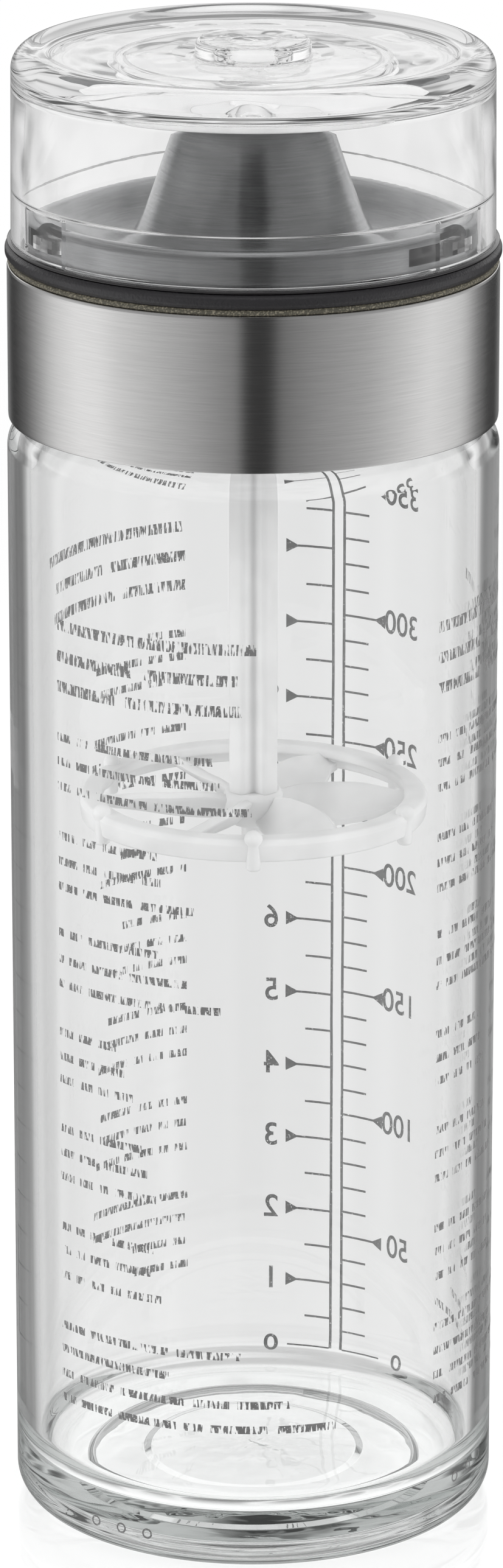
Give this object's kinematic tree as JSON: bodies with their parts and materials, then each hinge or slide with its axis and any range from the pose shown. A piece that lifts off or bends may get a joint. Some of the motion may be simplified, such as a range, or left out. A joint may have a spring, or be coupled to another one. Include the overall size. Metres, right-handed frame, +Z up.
{
  "type": "salad dressing shaker bottle",
  "caption": "Glass shaker bottle with a screw closure, a steel pouring dome under a clear bayonet cap, and a whisk on a rod hanging inside.",
  "frame": {"origin": "centre of the base, on the table", "axes": "+Z up along the bottle's axis; -Y is the side that faces the viewer in the picture, +X is to the right of it"},
  "size_m": [0.0652, 0.0652, 0.202],
  "materials": {
    "glass": "clear",
    "silicone": "soft, off-white",
    "black_plastic": "matte",
    "brushed_steel": "brushed round the axis",
    "olive_rubber": "matte, speckled",
    "black_textured": "finely textured",
    "black_gloss": "glossy",
    "white_plastic": "milky, translucent",
    "satin_steel": "satin, brushed round the axis",
    "clear_silicone": "milky, translucent",
    "clear_plastic": "clear"
  },
  "bodies": {
    "bottle": {"glass_bottle": "glass"},
    "mouth_seal": {"mouth_gasket": "silicone"},
    "closure": {"thread_collar": "black_plastic", "steel_sleeve": "brushed_steel", "soft_washer": "olive_rubber", "grip_ring": "black_textured", "bayonet_ring": "black_gloss", "pour_funnel": "white_plastic", "pouring_dome": "satin_steel", "rod_holder": "white_plastic"},
    "seal": {"cap_seal": "clear_silicone"},
    "cap": {"clear_cap": "clear_plastic"},
    "whisk": {"whisk_rod": "white_plastic", "whisk_disc": "white_plastic"}
  },
  "joints": [
    {"name": "closure_lift", "type": "slide", "parent": "bottle", "child": "mouth_seal", "axis": [0, 0, 1], "range_m": [0, 0.0059]},
    {"name": "closure_turn", "type": "hinge", "parent": "mouth_seal", "child": "closure", "pos_m": [0, 0, 0.16], "axis": [0, 0, 1], "range_deg": [0, 420]},
    {"name": "cap_lift", "type": "slide", "parent": "closure", "child": "seal", "axis": [0, 0, 1], "range_m": [0, 0.03]},
    {"name": "cap_turn", "type": "hinge", "parent": "seal", "child": "cap", "pos_m": [0, 0, 0.185], "axis": [0, 0, -1], "range_deg": [0, 12]},
    {"name": "whisk_pull", "type": "slide", "parent": "closure", "child": "whisk", "axis": [0, 0, -1], "range_m": [0, 0.0095]}
  ],
  "couplings": [
    {"joint": "closure_lift", "follows": "closure_turn", "m_per_rad": 0.00079577}
  ]
}
